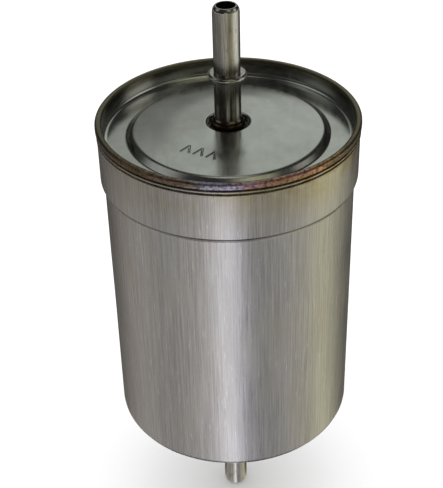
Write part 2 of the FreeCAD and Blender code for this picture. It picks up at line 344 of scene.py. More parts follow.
def pattern(tree: Tree, size: Size, detail: float = 3.0, offset: float = 0.0, warp: float = 0.0) -> Socket:
    """Noise whose grains have a real size along X, Y and Z.

    Args:
        tree: node tree that receives the nodes.
        size: grain size along each axis, in millimetres.
        detail: octaves of finer noise.
        offset: moves the pattern, so that two with one size differ.
        warp: distortion of the pattern.

    Returns:
        The noise factor, from 0 to 1.
    """
    place = add_node(tree, "TexCoord", output="Object")
    scale = [1 / (extent * MM) for extent in size]
    spot = add_node(tree, "Mapping", {"Vector": place, "Scale": scale, "Location": (offset,) * 3})
    return add_node(tree, "TexNoise", {
        "Vector": spot, "Scale": 1.0, "Detail": detail, "Roughness": 0.6, "Distortion": warp})


def steps(low: float, high: float, to_low: float = 0.0, to_high: float = 1.0) -> dict[str, float]:
    """Input values that map one range to another, in a node that does so."""
    return {"From Min": low, "From Max": high, "To Min": to_low, "To Max": to_high}


def coordinate(tree: Tree, axis: str) -> Socket:
    """Place along one axis of the object, in metres."""
    return add_node(tree, "SeparateXYZ", {0: add_node(tree, "TexCoord", output="Object")}, output=axis)


def axis_distance(tree: Tree) -> Socket:
    """Distance from the object's upright axis, in metres.

    Args:
        tree: the material's node tree.

    Returns:
        The distance's output.
    """
    place = add_node(tree, "TexCoord", output="Object")
    level = add_node(tree, "VectorMath", {0: place, 1: (1, 1, 0)}, operation="MULTIPLY")
    return add_node(tree, "VectorMath", {0: level}, operation="LENGTH", output="Value")


def layered(tree: Tree, base: Socket, layers: Sequence[tuple[Socket, str]]) -> Socket:
    """Lay colours over a base colour, each as far as its own share says.

    Args:
        tree: node tree that receives the nodes.
        base: the colour underneath.
        layers: share, from 0 to 1, and sRGB hex colour of each layer, the lowest first.

    Returns:
        The colour that shows.
    """
    for share, colour in layers:
        base = add_node(tree, "Mix", {0: share, 6: base, 7: linear(colour)}, data_type="RGBA")
    return base


def zone(tree: Tree, limits: Sequence[tuple[Socket, float, float, float, float]]) -> Socket:
    """Bound a zone by limits, each of which turns from one share to another over a stretch.

    Args:
        tree: node tree that receives the nodes.
        limits: what is limited, where the stretch starts and ends, and the shares there.

    Returns:
        The product of the shares.
    """
    shares = [add_node(tree, "MapRange", {"Value": value, **steps(*levels)}) for value, *levels in limits]
    inside = shares[0]
    for share in shares[1:]:
        inside = add_node(tree, "Math", {0: inside, 1: share}, operation="MULTIPLY")
    return inside


def empty_tree(block: Union[bpy.types.Material, bpy.types.World]) -> Tree:
    """Node tree of a new material or world, with nothing in it.

    Args:
        block: the material or world.

    Returns:
        Its node tree.
    """
    block.use_nodes = True
    block.node_tree.nodes.clear()
    return block.node_tree


@dataclass(frozen=True)
class Finish:
    """A finish: its name, its record slot, and the material that it builds."""

    name: str
    slot: Slot

    def material(self) -> bpy.types.Material:
        """Build the material, with its shader and its patterns.

        Returns:
            The material.
        """
        material = bpy.data.materials.new(self.name)
        tree = empty_tree(material)
        add_node(tree, "OutputMaterial", {"Surface": self.surface(tree)})
        return material

    def surface(self, tree: Tree) -> Socket:
        """Build the shader and its patterns; each finish has its own."""
        raise NotImplementedError


@dataclass(frozen=True)
class BrushedStainless(Finish):
    """Stainless strip, belt-brushed along the can before drawing: satin with fine lines.

    The lines spread each highlight round the can and leave thin streaks down the wall.
    """

    dark: str = "#9b9896"
    light: str = "#c4c2c0"
    stain: str = "#b3ae9c"
    roughness: float = 0.27
    anisotropy: float = 0.4
    line_width: float = 0.35        # real brush lines are 0.1 mm; drawn wider so that they show
    line_length: float = 26.0
    fleck: str = "#f0efee"          # short bright flecks and dull scratches between the lines
    scratch: str = "#605c58"
    fleck_length: float = 6.0
    streak_width: float = 2.2
    streak_length: float = 70.0
    line_depth: float = 0.004
    cloud: Size = (16.0, 16.0, 30.0)
    rim_z: float = 63.0             # height of the weld, where the heat tint starts
    tint_reach: float = 16.0
    tint_patch: Size = (12.0, 12.0, 7.0)
    cool_side: float = -5.0         # the weld ran cooler left of this and hotter right of hot_side
    hot_side: float = 18.0
    # painted shade: the dark colour and its patch size, laid in the rolled grooves under the weld and under
    # the step's edge
    painted_shade: str = "#2a231c"
    shade_patch: Size = (2.5, 2.5, 0.8)
    groove_radius: float = 39.5     # painted shade darkens the wall near the weld inside this radius
    groove_reach: float = 4.5
    step_top: float = 44.7          # painted shade lies under this height too, where the wall steps out
    blur: float = 0.1               # half the width over which the painted shade fades out

    def surface(self, tree: Tree) -> Socket:
        """Brush lines, streaks, water stains, the heat tint under the weld, and painted shade in the
        grooves and under the step.

        Args:
            tree: the material's node tree.

        Returns:
            The shader's output.
        """
        lines = pattern(tree, (self.line_width, self.line_width, self.line_length), 4.0, warp=0.4)
        streaks = pattern(tree, (self.streak_width, self.streak_width, self.streak_length), 3.0, 7.0)
        flecks = pattern(tree, (self.line_width, self.line_width, self.fleck_length), 2.0, 13.0)
        clouds = pattern(tree, self.cloud, 2.0, 3.0)
        brushed = add_node(tree, "ValToRGB", {0: lines}, stops=((0.3, self.dark), (0.7, self.light)))
        streaky, bright, dull, stained = (
            zone(tree, [marks]) for marks in (
                (streaks, 0.35, 0.7, 0.0, 0.25), (flecks, 0.62, 0.78, 0.0, 0.5),
                (flecks, 0.26, 0.38, 0.2, 0.0), (clouds, 0.5, 0.75, 0.0, 0.3)))
        # painted shade: the grooves under the weld and the wall just under the step are darkened
        shaded = add_node(
            tree, "Math", {0: self.shade_in_grooves(tree), 1: self.shade_under_step(tree)}, operation="MAXIMUM")
        metal = layered(tree, brushed, (
            (streaky, self.dark), (bright, self.fleck), (dull, self.scratch), (stained, self.stain),
            (shaded, self.painted_shade)))
        heat = self.heat_tint(tree)
        metal = add_node(tree, "Mix", {0: 0.8, 6: metal, 7: heat}, data_type="RGBA", blend_type="MULTIPLY")
        fine = add_node(tree, "MapRange", {
            "Value": lines, **steps(0.2, 0.8, self.roughness - 0.07, self.roughness + 0.07)})
        broad = add_node(tree, "MapRange", {"Value": clouds, **steps(0.3, 0.7, -0.03, 0.05)})
        return add_node(tree, "BsdfPrincipled", {
            "Base Color": metal, "Metallic": 1.0, "Anisotropic": self.anisotropy,
            "Roughness": add_node(tree, "Math", {0: fine, 1: broad}, operation="ADD"),
            "Normal": add_node(tree, "Bump", {"Height": lines, "Distance": self.line_depth * MM}),
            "Tangent": add_node(tree, "Tangent", direction_type="RADIAL", axis="Z")})

    def shade_in_grooves(self, tree: Tree) -> Socket:
        """Where painted shade lies: patches of up to 0.8 in the rolled grooves under the weld.

        Args:
            tree: the material's node tree.

        Returns:
            The share of painted shade.
        """
        low = (self.rim_z - self.groove_reach) * MM
        inner, outer = ((self.groove_radius + side * self.blur) * MM for side in (-1, 1))
        return zone(tree, (
            (coordinate(tree, "Z"), low, low + 2 * self.blur * MM, 0.0, 1.0),
            (axis_distance(tree), inner, outer, 1.0, 0.0),
            (pattern(tree, self.shade_patch, 4.0, 17.0), 0.38, 0.6, 0.3, 0.8)))

    def shade_under_step(self, tree: Tree) -> Socket:
        """Where painted shade lies under the edge of the step: up to 0.85 there, 0 elsewhere.

        Args:
            tree: the material's node tree.

        Returns:
            The share of painted shade.
        """
        # painted shade: a dark band just under the step's edge
        height = coordinate(tree, "Z")
        low, high, under, over = (
            (self.step_top + offset) * MM for offset in (-1.0, -0.5, -self.blur, self.blur))
        return zone(tree, ((height, low, high, 0.0, 0.85), (height, under, over, 1.0, 0.0)))

    def heat_tint(self, tree: Tree) -> Socket:
        """Straw-coloured tint of the weld's heat, over the top of the wall only.

        Args:
            tree: the material's node tree.

        Returns:
            The tint's colour.
        """
        heated = zone(tree, (
            (coordinate(tree, "Z"), (self.rim_z - self.tint_reach) * MM, self.rim_z * MM, 0.0, 1.0),
            (pattern(tree, self.tint_patch, 4.0, 11.0), 0.35, 0.65, 0.1, 1.0),
            (coordinate(tree, "X"), self.cool_side * MM, self.hot_side * MM, 0.35, 1.0)))
        return add_node(tree, "ValToRGB", {0: heated}, stops=(
            (0.0, "#ffffff"), (0.35, "#f4ecc8"), (0.65, "#e2c884"), (0.92, "#b8865c")))


@dataclass(frozen=True)
class PressedStainless(Finish):
    """Stainless sheet, deep-drawn with oil: smooth satin with faint clouds and wipe marks."""

    dark: str = "#b4b5b1"
    light: str = "#c5c7c2"
    roughness: float = 0.2
    cloud: Size = (9.0, 9.0, 9.0)
    smear: Size = (3.0, 14.0, 5.0)
    grain: Size = (0.5, 0.5, 0.5)
    grain_depth: float = 0.001
    brown_dark: str = "#3a2f24"
    brown_light: str = "#7c7460"
    brown_patch: Size = (4.0, 4.0, 1.2)
    wall_radius: float = 38.0
    rim_z: float = 63.0
    brown_from: float = 3.6         # the weld's heat browned the wall from this far below the rim
    brown_full: float = 2.0

    def surface(self, tree: Tree) -> Socket:
        """Clouds, a fine orange-peel grain, smears in the gloss and the browned wall.

        Args:
            tree: the material's node tree.

        Returns:
            The shader's output.
        """
        clouds = pattern(tree, self.cloud, 4.0)
        smears = pattern(tree, self.smear, 3.0, 5.0, warp=1.0)
        grain = pattern(tree, self.grain, 2.0)
        patches = pattern(tree, self.brown_patch, 4.0, 6.0)
        brown = add_node(tree, "ValToRGB", {0: patches}, stops=(
            (0.35, self.brown_dark), (0.65, self.brown_light)))
        metal = add_node(tree, "ValToRGB", {0: clouds}, stops=((0.3, self.dark), (0.7, self.light)))
        return add_node(tree, "BsdfPrincipled", {
            "Base Color": add_node(tree, "Mix", {
                0: self.on_wall(tree), 6: metal, 7: brown}, data_type="RGBA"),
            "Metallic": 1.0,
            "Roughness": add_node(tree, "MapRange", {
                "Value": smears, **steps(0.3, 0.7, self.roughness - 0.04, self.roughness + 0.06)}),
            "Normal": add_node(tree, "Bump", {"Height": grain, "Distance": self.grain_depth * MM})})

    def on_wall(self, tree: Tree) -> Socket:
        """How far the wall inside the rim is browned by the weld's heat, from 0 to 0.8.

        Args:
            tree: the material's node tree.

        Returns:
            The share of brown.
        """
        low, high = ((self.rim_z - below) * MM for below in (self.brown_from, self.brown_full))
        inner, outer = ((self.wall_radius - inside) * MM for inside in (1.2, 0.4))
        return zone(tree, (
            (coordinate(tree, "Z"), low, high, 0.0, 0.8), (axis_distance(tree), inner, outer, 0.0, 1.0)))


@dataclass(frozen=True)
class HeatTintedWeld(Finish):
    """Stainless seam weld with its oxide colours, from straw over violet to blue."""

    radius: float = 40.0
    width: float = 2.0              # from the seam's inner edge to its outer face
    # painted shade along the seam's inner edge: its width, blur and colour
    edge_shade_width: float = 0.55
    edge_shade_blur: float = 0.15
    edge_shade: str = "#2c2722"
    speck: str = "#4a3c30"
    faded: str = "#77735f"          # the seam away from the brightest tint
    tint_half_depth: float = 28.0
    drift: Size = (7.0, 7.0, 1.2)
    roughness: float = 0.36
    scale_size: float = 0.8
    scale_depth: float = 0.01

    def oxides(self) -> list[tuple[float, str]]:
        """Oxide colours from the left end of the seam, as seen from the front, to its right."""
        return [
            (0.0, "#4c4436"), (0.12, "#6e5e48"), (0.24, "#86725a"), (0.32, "#8d7d70"),
            (0.42, "#a4a4bc"), (0.52, "#bab0cc"), (0.62, "#c09aa2"), (0.72, "#b8896a"),
            (0.82, "#a2875f"), (0.92, "#6a5c44"), (1.0, "#4c4436"),
        ]

    def surface(self, tree: Tree) -> Socket:
        """Oxide colours that drift round the seam, with sooty specks and painted shade along the inner
        edge.

        Args:
            tree: the material's node tree.

        Returns:
            The shader's output.
        """
        across = add_node(tree, "MapRange", {
            "Value": coordinate(tree, "X"), **steps(-self.radius * MM, self.radius * MM)})
        drift = add_node(tree, "MapRange", {
            "Value": pattern(tree, self.drift, 3.0, 2.0), **steps(0.3, 0.7, -0.13, 0.13)})
        along = add_node(tree, "Math", {0: across, 1: drift}, operation="ADD")
        oxide = add_node(tree, "ValToRGB", {0: along}, stops=self.oxides())
        specks = pattern(tree, (self.scale_size,) * 3, 3.0, 4.0)
        sooty = add_node(tree, "MapRange", {"Value": specks, **steps(0.44, 0.64, 0.0, 0.8)})
        # painted shade: a dark band on the seam's inner edge, where it turns down into the cover
        edge = self.radius - self.width + self.edge_shade_width
        inner, outer = ((edge + side * self.edge_shade_blur) * MM for side in (-1, 1))
        inside = add_node(tree, "MapRange", {"Value": axis_distance(tree), **steps(inner, outer, 1.0, 0.0)})
        behind = add_node(tree, "MapRange", {
            "Value": coordinate(tree, "Y"), **steps(-self.tint_half_depth * MM, 0.0, 0.0, 0.9)})
        return add_node(tree, "BsdfPrincipled", {
            "Base Color": layered(tree, oxide, (
                (sooty, self.speck), (inside, self.edge_shade), (behind, self.faded))),
            "Metallic": 1.0,
            "Roughness": add_node(tree, "MapRange", {
                "Value": specks, **steps(0.3, 0.7, self.roughness - 0.06, self.roughness + 0.1)}),
            "Normal": add_node(tree, "Bump", {"Height": specks, "Distance": self.scale_depth * MM})})


@dataclass(frozen=True)
class DrawnTube(Finish):
    """Stainless tube, cold-drawn: semi-bright, with hairline draw marks along it."""

    dark: str = "#908c84"
    light: str = "#c4c2bc"
    spot: str = "#6d604a"
    mark_size: Size = (0.3, 0.3, 9.0)
    mark_depth: float = 0.003
    spot_size: Size = (1.6, 1.6, 3.2)
    roughness: float = 0.14
    anisotropy: float = 0.3
    seat_z: float = 58.5            # floor of the seat, where the brazing heat browned the foot
    scorch: str = "#3b2e22"
    scorch_full: float = 3.6        # scorched this far from the seat, and clean beyond scorch_reach
    scorch_reach: float = 6.1

    def surface(self, tree: Tree) -> Socket:
        """Draw marks along the tube, small brown handling spots and the scorched foot.

        Args:
            tree: the material's node tree.

        Returns:
            The shader's output.
        """
        marks = pattern(tree, self.mark_size, 3.0)
        spots = pattern(tree, self.spot_size, 3.0, 9.0)
        drawn = add_node(tree, "ValToRGB", {0: marks}, stops=((0.3, self.dark), (0.7, self.light)))
        spotted = add_node(tree, "MapRange", {"Value": spots, **steps(0.58, 0.75, 0.0, 0.5)})
        from_seat = add_node(
            tree, "Math", {0: coordinate(tree, "Z"), 1: self.seat_z * MM}, operation="SUBTRACT")
        from_seat = add_node(tree, "Math", {0: from_seat}, operation="ABSOLUTE")
        scorched = add_node(tree, "MapRange", {
            "Value": from_seat, **steps(self.scorch_full * MM, self.scorch_reach * MM, 0.85, 0.0)})
        return add_node(tree, "BsdfPrincipled", {
            "Base Color": layered(tree, drawn, ((spotted, self.spot), (scorched, self.scorch))),
            "Metallic": 1.0, "Anisotropic": self.anisotropy,
            "Roughness": add_node(tree, "MapRange", {
                "Value": marks, **steps(0.2, 0.8, self.roughness - 0.04, self.roughness + 0.08)}),
            "Normal": add_node(tree, "Bump", {"Height": marks, "Distance": self.mark_depth * MM}),
            "Tangent": add_node(tree, "Tangent", direction_type="RADIAL", axis="Z")})


@dataclass(frozen=True)
class Grained(Finish):
    """A finish with one grain, which shows in its colour, its gloss and its relief."""

    dark: str = "#8d9092"
    light: str = "#b4b7b9"
    roughness: float = 0.38
    grain: Size = (3.0, 3.0, 3.0)
    grain_depth: float = 0.004
    detail: float = 4.0
    shades: tuple[float, float] = (0.35, 0.65)      # where in the grain it is dark and light
    gloss: tuple[float, float] = (-0.08, 0.1)       # change of roughness in the dark and light

    def stuff(self) -> dict[str, float]:
        """Shader inputs that make it a metal."""
        return {"Metallic": 1.0}

    def surface(self, tree: Tree) -> Socket:
        """The grain, in colour, gloss and relief.

        Args:
            tree: the material's node tree.

        Returns:
            The shader's output.
        """
        grain = pattern(tree, self.grain, self.detail)
        smooth, rough = (self.roughness + change for change in self.gloss)
        return add_node(tree, "BsdfPrincipled", {
            "Base Color": add_node(tree, "ValToRGB", {0: grain}, stops=(
                (self.shades[0], self.dark), (self.shades[1], self.light))),
            "Roughness": add_node(tree, "MapRange", {"Value": grain, **steps(0.3, 0.7, smooth, rough)}),
            "Normal": add_node(tree, "Bump", {"Height": grain, "Distance": self.grain_depth * MM}),
            **self.stuff()})


@dataclass(frozen=True)
class TinnedSteel(Grained):
    """Mild steel with a thin tin coat, as on pressed element parts: dull silver, spangled."""


@dataclass(frozen=True)
class CopperBraze(Grained):
    """Furnace copper braze, oxidised where it set round the tube: brown, rough where dark."""

    dark: str = "#241c15"
    light: str = "#5c4c34"
    roughness: float = 0.34
    grain: Size = (1.4, 1.4, 0.8)
    grain_depth: float = 0.06
    gloss: tuple[float, float] = (0.08, -0.08)


@dataclass(frozen=True)
class Moulded(Grained):
    """Rubber, resin, paper or thread: a matt non-metal with a fine grain."""

    dark: str = "#101010"
    light: str = "#1c1c1c"
    roughness: float = 0.7
    grain: Size = (0.4, 0.4, 0.4)
    grain_depth: float = 0.01
    detail: float = 3.0
    shades: tuple[float, float] = (0.3, 0.7)
    gloss: tuple[float, float] = (-0.1, 0.1)
    ior: float = 1.5
    subsurface: float = 0.0

    def stuff(self) -> dict[str, float]:
        """Shader inputs that bend and scatter light, with no metal."""
        return {"IOR": self.ior, "Subsurface Weight": self.subsurface}


# Sub-assemblies


def finish_piece(piece: bpy.types.Object, node: str, finish: Finish) -> None:
    """Dress a new piece, ride it on the body and let it stand for its CAD node.

    Args:
        piece: the new mesh.
        node: CAD node that it replaces.
        finish: its finish.
    """
    piece.data.materials.append(finish.material())
    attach(piece, ROOT_BODY)
    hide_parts(node)
    log.info("%s: %d vertices, %s", piece.name, len(piece.data.vertices), finish.name)


def mount_size(name: str, key: str) -> float:
    """A dimension of one of the record's mounts, in millimetres."""
    mount = next(entry for entry in frame["record"]["mounts"] if entry["name"] == name)
    return mount["dims"][key]


def low_z(node: str) -> float:
    """Lowest height of a CAD node, in millimetres."""
    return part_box(node)[0].z / MM


def high_z(node: str) -> float:
    """Highest height of a CAD node, in millimetres."""
    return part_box(node)[1].z / MM


@dataclass(frozen=True)
class Panel:
    """Raised round panel with the sunk seat of a nipple, on the cover and the can."""

    foot_radius: float = 30.8
    edge_radius: float = 28.9
    rise: float = 1.75
    crown: float = 2.15
    crown_share: float = 0.72       # how far the face has risen halfway to the lip
    crown_bend: float = 60.0
    lip_radius: float = 6.55
    seat_radius: float = 6.3
    seat_depth: float = 2.4
    tube_radius: float = 4.0

    def path(self, ring_z: float, way: int) -> list[Corner]:
        """Face of the panel from the tube's hole out to its foot.

        Args:
            ring_z: height of the flat ring round the panel.
            way: +1 where the panel rises, -1 where it hangs.

        Returns:
            The corners, outwards.
        """
        lip = ring_z + way * (self.rise + self.crown)
        seat = lip - way * self.seat_depth
        edge = ring_z + way * self.rise
        middle_radius = (self.lip_radius + self.edge_radius) / 2
        return [
            Corner(self.tube_radius, seat),
            Corner(self.seat_radius, seat, 0.4),
            Corner(self.lip_radius, lip, 0.6),
            Corner(middle_radius, edge + way * self.crown * self.crown_share, self.crown_bend),
            Corner(self.edge_radius, edge, 2.2),
            Corner(self.foot_radius, ring_z, 1.2),
        ]


@dataclass
class Can:
    """Deep-drawn can with its widened, grooved mouth, and the weld over its edge."""

    body_radius: float
    rim_radius: float
    rim_z: float
    ring_z: float
    panel: Panel = Panel()
    mouth_radius: float = 39.6
    sheet: float = 0.8
    mouth_depth: float = 18.3
    step_height: float = 1.8
    step_bends: tuple[float, float] = (1.2, 0.8)
    corner: float = 2.8
    lip: float = 0.2                # how far the lowest ring stands out from the mouth
    ridge: float = 0.25             # how far the ring between the grooves stands out
    groove: float = 0.35            # depth of the rolled grooves under the weld
    seam_depth: float = 1.0         # how far the weld reaches down into the can's edge
    wall_from: float = 34.0         # dents start at this radius and are full at wall_to
    wall_to: float = 37.0
    kinks_from: float = 12.0        # finer kinks start this far below the rim
    kinks_full: float = 4.0
    weld_band: float = 0.35         # ripples start this far inside the rim, in full at weld_crest
    weld_crest: float = 0.05
    ripple_count: int = 190         # weld nuggets overlap every 1.3 mm
    ripple_depth: float = 0.018
    ripple_middle: float = 1.1      # each nugget's arc has its middle this far below the rim
    ripple_bow: float = 0.6
    lump_limit: float = 0.03
    lump_room: float = 0.02         # the band stays this far inside the rim's own radius
    segments: int = 384
    weld_segments: int = 1520

    def mouth_rings(self) -> list[Corner]:
        """Outer face of the mouth: lip, groove, ridge, groove, then up under the weld.

        Returns:
            The corners, upwards.
        """
        lip, ridge, valley = self.lip, self.ridge, -self.groove
        rows = (
            (0.0, 4.35, 0.15), (lip, 4.15, 0.15), (lip, 3.76, 0.12), (valley, 3.58, 0.1),
            (valley, 3.16, 0.1), (ridge, 2.96, 0.14), (ridge, 2.54, 0.14), (valley, 2.34, 0.1),
            (valley, 1.92, 0.05), (valley, self.seam_depth, 0.0))
        return [
            Corner(self.mouth_radius + out, self.rim_z - below, bend) for out, below, bend in rows]

    def build(self) -> bpy.types.Object:
        """Turn the can with slight dents in its wall.

        Returns:
            The can's mesh object.
        """
        mouth_bottom = self.rim_z - self.mouth_depth
        path = self.panel.path(self.ring_z, -1) + [
            Corner(self.body_radius, self.ring_z, self.corner),
            Corner(self.body_radius, mouth_bottom - self.step_height, self.step_bends[0]),
            Corner(self.mouth_radius, mouth_bottom, self.step_bends[1]),
            Corner(self.mouth_radius, self.rim_z - self.seam_depth),
        ]
        corners = path[:-1] + self.mouth_rings() + inner_side(path, self.sheet)[::-1]
        dents = Waviness(height=0.022, around=16, pitch=26.0, seed=3)
        kinks = Waviness(height=0.028, around=44, pitch=9.0, seed=8)

        def uneven(at: Vertices) -> Moved:
            """Dents in the wall, and finer kinks just under the weld.

            Args:
                at: the vertices.

            Returns:
                Their displacement.
            """
            wall = part_way(at.radius, self.wall_from, self.wall_to)
            near_weld = part_way(at.height, self.rim_z - self.kinks_from, self.rim_z - self.kinks_full)
            out = dents.over(at.height, at.angle) + near_weld * kinks.over(at.height, at.angle)
            return wall * out, np.zeros_like(out)

        return lathe("can_shell", outline(corners), self.segments, uneven)

    def build_weld(self) -> bpy.types.Object:
        """Turn the weld: crest, dark notch and rippled band over the can's edge.

        Returns:
            The weld's mesh object.
        """
        top = self.rim_z
        inner = self.mouth_radius - 2 * self.sheet
        outer = self.rim_radius
        band = outer - self.lump_room
        valley = self.mouth_radius - self.groove
        seam = top - self.seam_depth
        corners = [Corner(*row) for row in (
            (inner, seam), (inner, top - 0.1, 0.6), (outer - 0.55, top, 0.45),
            (band, top - 0.4, 0.4), (band, top - 1.75, 0.3), (valley, top - 1.95, 0.05),
            (valley, seam))]
        wander = Waviness(height=0.35, around=12, pitch=400.0, seed=5)
        lumps = Waviness(height=0.012, around=90, pitch=2.5, seed=11)

        def ripple(at: Vertices) -> Moved:
            """Overlapping nuggets on the band, with a slow wander.

            Args:
                at: the vertices.

            Returns:
                Their displacement.
            """
            rippled = part_way(at.radius, outer - self.weld_band, outer - self.weld_crest)
            bowed = self.ripple_bow * (at.height - (top - self.ripple_middle)) ** 2
            turned = at.angle + 0.01 * wander.over(at.height, at.angle)
            wave = np.cos(self.ripple_count * turned + bowed)
            out = np.clip(lumps.over(at.height, at.angle), -self.lump_limit, 0.0)
            out -= self.ripple_depth * (1 - wave) / 2
            return rippled * out, np.zeros_like(out)

        return lathe("weld_bead", outline(corners, 0.35, 4), self.weld_segments, ripple)


@dataclass
class Cover:
    """Pressed cover in the mouth, with its panel and stamped flow marks."""

    rim_z: float
    ring_z: float
    wall_radius: float
    panel: Panel = Panel()
    sheet: float = 0.8
    wall_bend: float = 1.4
    wall_below_rim: float = 0.95
    flat_from: float = 36.0         # the sheet waves inside this radius, in full from flat_full
    flat_full: float = 30.0
    mark_radius: float = 18.6
    mark_angle: float = math.radians(-116.5)
    mark_count: int = 3
    mark_pitch: float = 4.2
    mark_half_width: float = 1.3
    mark_half_height: float = 1.6
    mark_stroke: float = 0.12       # half the width of a stamped line's floor
    mark_slope: float = 0.22        # width of each of its sloping sides
    mark_depth: float = 0.22
    mark_band: float = 2.6          # the sheet is divided finely this far from the marks' radius
    mark_parts: int = 8
    segments: int = 1080

    def build(self) -> bpy.types.Object:
        """Turn the cover and press the flow marks into its panel.

        Returns:
            The cover's mesh object.
        """
        path = self.panel.path(self.ring_z, 1) + [
            Corner(self.wall_radius, self.ring_z, self.wall_bend),
            Corner(self.wall_radius, self.rim_z - self.wall_below_rim),
        ]
        inside = upside_down(inner_side(upside_down(path), self.sheet))
        slow = Waviness(height=0.03, around=5, pitch=60.0, seed=21)

        def press(at: Vertices) -> Moved:
            """Stamped marks on the top face and a slow unevenness of the sheet.

            Args:
                at: the vertices.

            Returns:
                Their displacement.
            """
            depth = np.where(self.on_panel(at.height), self.mark_profile(at.radius, at.angle), 0.0)
            uneven = slow.over(at.radius, at.angle) * part_way(at.radius, self.flat_from, self.flat_full)
            return np.zeros_like(depth), uneven - depth

        return lathe("cover_panel", self.divided(outline(path + inside[::-1], 0.9)), self.segments, press)

    def on_panel(self, height: Union[float, Grid]) -> Union[bool, Grid]:
        """Whether a height is that of the panel's top face."""
        return height > self.ring_z + 0.2

    def divided(self, points: Grid) -> Grid:
        """Divide the steps of the panel's face where the marks are.

        Args:
            points: outline points (radius, height).

        Returns:
            The outline with more points.
        """
        result: list[Grid] = []
        for here, after in zip(points, np.roll(points, -1, axis=0)):
            near_marks = abs(here[0] - self.mark_radius) < self.mark_band
            marked = near_marks and self.on_panel(min(here[1], after[1]))
            count = self.mark_parts if marked else 1
            result.extend(here + (after - here) * step / count for step in range(count))
        return np.array(result)

    def mark_profile(self, radius: Grid, angle: Grid) -> Grid:
        """Depth of the stamped chevrons, each pointing at the nipple.

        Args:
            radius: radius of each vertex, in millimetres.
            angle: angle of each vertex.

        Returns:
            The depth at each vertex, in millimetres.
        """
        turned = angle - self.mark_angle
        across = radius * np.sin(turned)
        inwards = self.mark_radius - radius * np.cos(turned)
        nearest = np.full_like(radius, math.inf)
        for index in range(self.mark_count):
            middle = (index - (self.mark_count - 1) / 2) * self.mark_pitch
            tip = np.array([middle, self.mark_half_height])
            for side in (-1, 1):
                foot = np.array([middle + side * self.mark_half_width, -self.mark_half_height])
                nearest = np.minimum(nearest, stroke_distance(across, inwards, tip, foot))
        return self.mark_depth * part_way(nearest, self.mark_stroke + self.mark_slope, self.mark_stroke)


def part_way(value: Grid, start: float, full: float) -> Grid:
    """How far each value has gone from start, where it is 0, to full, where it is 1."""
    return np.clip((value - start) / (full - start), 0, 1)


def stroke_distance(x: Grid, y: Grid, start: Grid, end: Grid) -> Grid:
    """Distance of each point (x, y) from the straight stroke between two points.

    Args:
        x: first coordinate of each point.
        y: second coordinate of each point.
        start: start of the stroke.
        end: end of the stroke.

    Returns:
        The distances.
    """
    way = end - start
    along = part_way((x - start[0]) * way[0] + (y - start[1]) * way[1], 0, float(way @ way))
    return np.hypot(x - start[0] - along * way[0], y - start[1] - along * way[1])


@dataclass
class Nipple:
    """Drawn tube nipple with rounded tip, stop bead and foot, and its braze ring."""

    name: str
    tip_z: float                    # distance of the tip from the middle of the object
    seat_z: float                   # distance of the seat's floor from the middle
    end_z: float                    # distance of the inner end from the middle
    way: int                        # +1 on top, -1 underneath
    tube_radius: float
    bore_radius: float
    bead_radius: float
    tip_to_bead: float = 21.6
    bead_thickness: float = 1.8
    foot_radius: float = 4.6
    foot_height: float = 4.0
    braze_radius: float = 5.2
    braze_height: float = 3.0
    braze_grip: float = 0.3         # the ring is even where it grips the foot, and free beyond this
    play: float = 0.02              # keeps the ring's faces off the ones they lie on
    sheet: float = 0.8
    segments: int = 160

    def corners(self, rows: Sequence[Sequence[float]]) -> list[Corner]:
        """Corners from rows of numbers, upside down for the lower nipple."""
        return [Corner(row[0], self.way * row[1], *row[2:]) for row in rows]

    def build_tube(self) -> bpy.types.Object:
        """Turn the tube with its rolled bead and the shadow groove above it.

        Returns:
            The tube's mesh object.
        """
        tip = self.tip_z
        bore, tube, foot = self.bore_radius, self.tube_radius, self.foot_radius
        bead_top = tip - self.tip_to_bead + self.bead_thickness / 2
        bead_bottom = tip - self.tip_to_bead - self.bead_thickness / 2
        foot_top = self.seat_z + self.foot_height
        collar = self.seat_z - self.sheet
        flare = tube + self.sheet
        rows = (
            (bore, tip, 0.1), (bore + 0.45, tip, 0.4), (tube - 0.12, tip - 0.85, 1.4),
            (tube, tip - 2.2, 3.0), (tube, bead_top + 0.4, 0.15),
            (tube - 0.2, bead_top + 0.25, 0.08), (tube - 0.2, bead_top - 0.05, 0.08),
            (self.bead_radius, bead_top - 0.05, 0.8), (self.bead_radius, bead_bottom, 0.85),
            (tube + 0.04, bead_bottom, 0.4), (tube + 0.04, foot_top + 0.25, 0.5),
            (foot, foot_top - 0.35, 0.25), (foot, self.seat_z), (tube, self.seat_z),
            (tube, collar), (flare, collar, 0.1), (flare, collar - self.sheet, 0.25),
            (tube, collar - self.sheet, 0.1), (tube, self.end_z, 0.3), (bore, self.end_z))
        wear = Waviness(height=0.008, around=7, pitch=12.0, seed=31)

        def uneven(at: Vertices) -> Moved:
            """Slight unevenness of the drawn wall.

            Args:
                at: the vertices.

            Returns:
                Their displacement.
            """
            out = wear.over(at.height, at.angle)
            return out, np.zeros_like(out)

        points = outline(self.corners(rows), 1.5)
        return lathe(self.name + "_tube", points, self.segments, uneven)

    def build_braze(self) -> bpy.types.Object:
        """Turn the braze ring, uneven where the metal ran.

        Returns:
            The ring's mesh object.
        """
        seat = self.seat_z + self.play
        top = self.seat_z + self.braze_height
        foot = self.foot_radius
        rows = (
            (foot - self.play, seat), (self.braze_radius + 0.5, seat, 0.1),
            (self.braze_radius + self.play, self.seat_z + 0.8, 0.5),
            (self.braze_radius, top - 0.35, 0.3), (foot + 0.1, top + 0.1, 0.1),
            (foot - self.play, top + 0.05))
        run = Waviness(height=0.05, around=14, pitch=3.0, seed=41)

        def uneven(at: Vertices) -> Moved:
            """Where the braze metal ran and set.

            Args:
                at: the vertices.

            Returns:
                Their displacement.
            """
            free = part_way(at.radius, foot, foot + self.braze_grip)
            out = run.over(at.height, at.angle)
            return -free * np.abs(out), free * out * 0.6

        points = outline(self.corners(rows), 0.4)
        return lathe(self.name + "_braze", points, self.segments, uneven)


